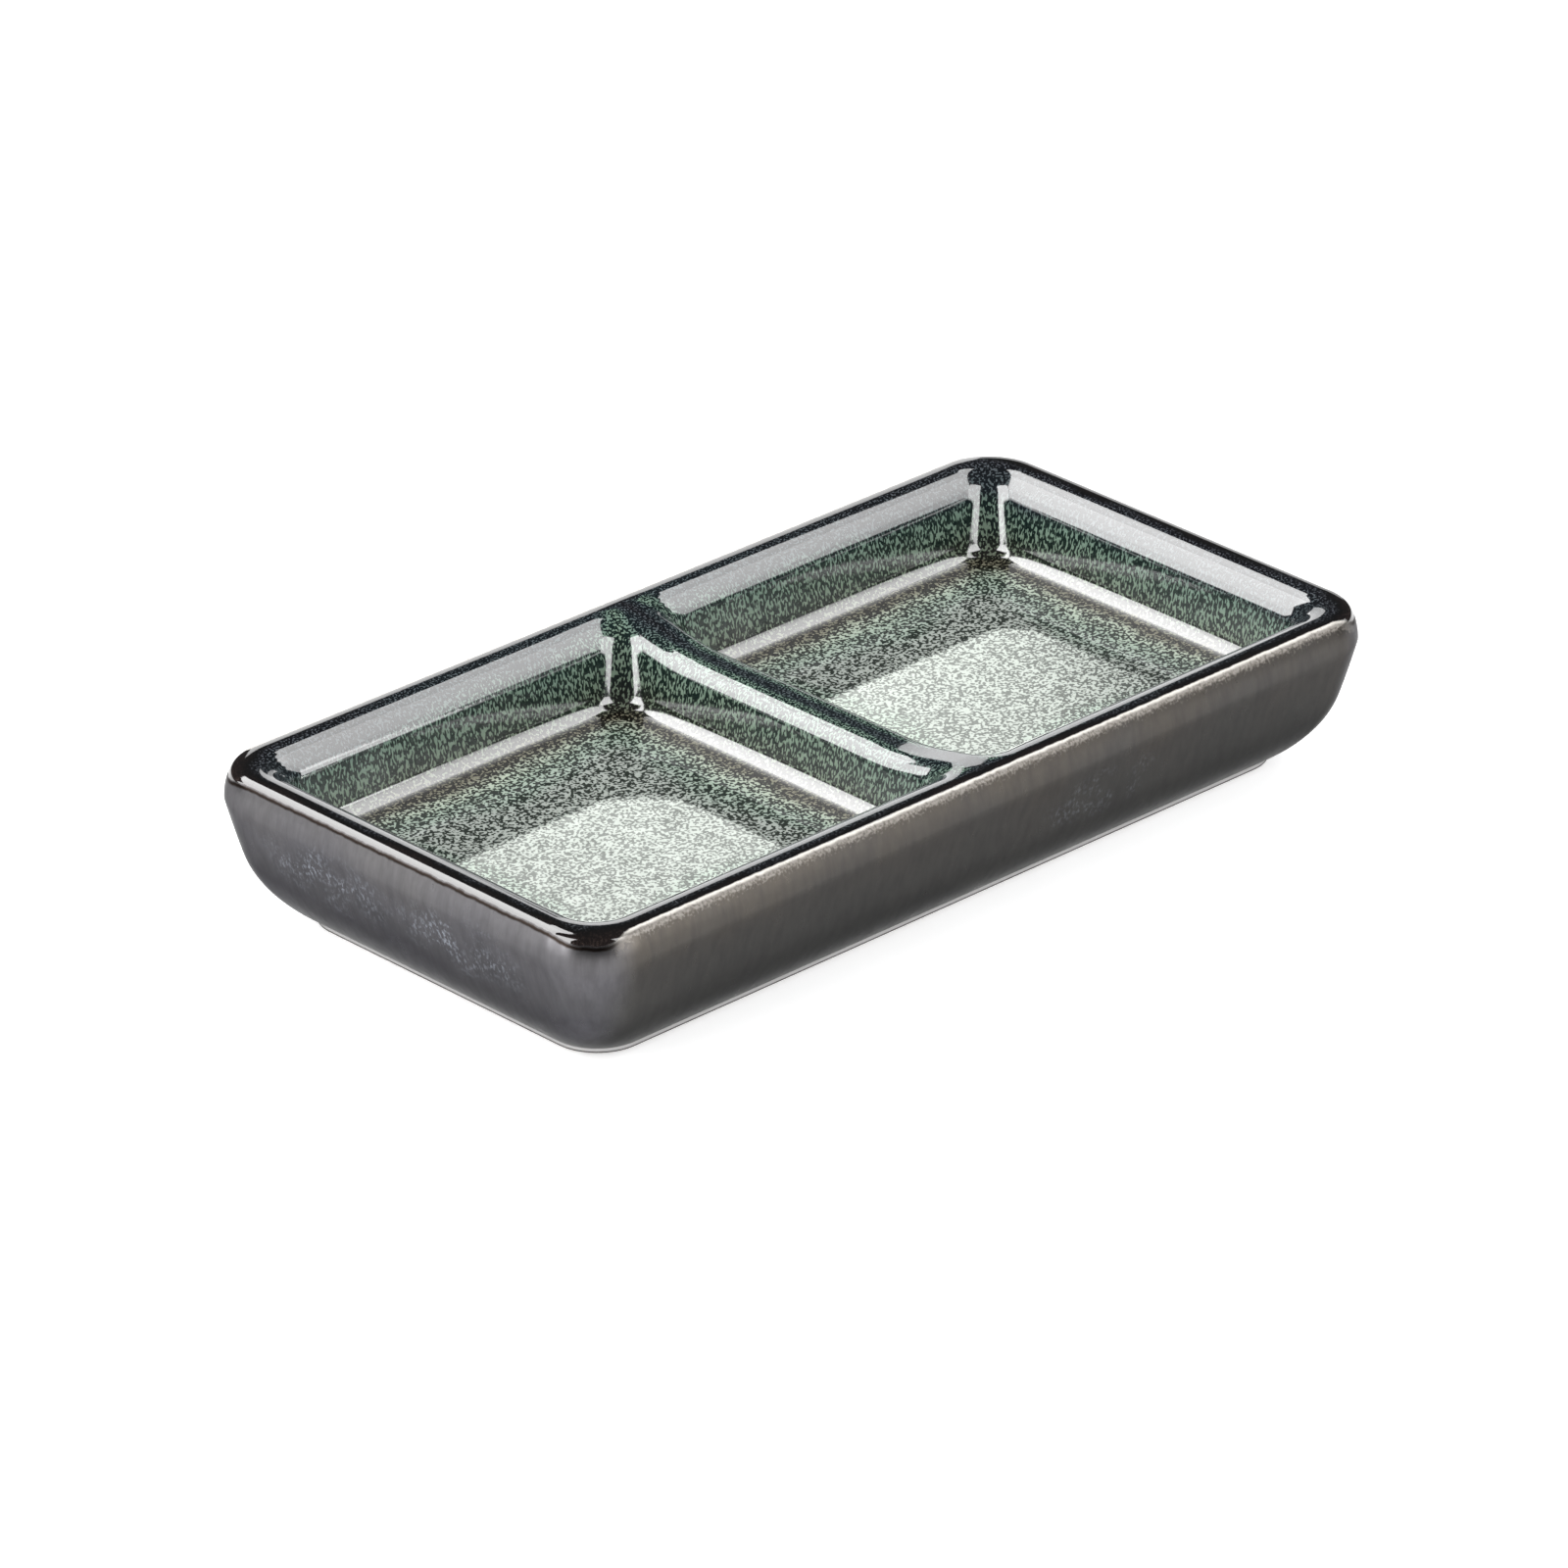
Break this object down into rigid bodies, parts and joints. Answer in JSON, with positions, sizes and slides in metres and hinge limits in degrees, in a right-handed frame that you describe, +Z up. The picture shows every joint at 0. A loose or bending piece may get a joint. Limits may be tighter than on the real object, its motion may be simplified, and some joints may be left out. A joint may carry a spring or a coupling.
{
  "type": "divided dip bowl",
  "caption": "Rectangular stoneware dip bowl with rounded corners, a low divider between square wells, glazed inside and out.",
  "frame": {"origin": "centre of the foot's bounding box, on the surface that the bowl stands on", "axes": "+X along the bowl from the left well to the right well, +Y across it, +Z up out of the wells"},
  "size_m": [0.145, 0.075, 0.0225],
  "materials": {
    "bare_clay": "matt, unglazed",
    "dark_rim_glaze": "glossy, near black",
    "celadon_glaze": "glossy, dark speckle",
    "gunmetal_glaze": "satin, metallic grey"
  },
  "bodies": {
    "root": {"stoneware_body": "bare_clay", "rim_glaze": "dark_rim_glaze", "left_well_glaze": "celadon_glaze", "right_well_glaze": "celadon_glaze", "outer_glaze": "gunmetal_glaze", "base_glaze": "gunmetal_glaze"}
  },
  "joints": []
}
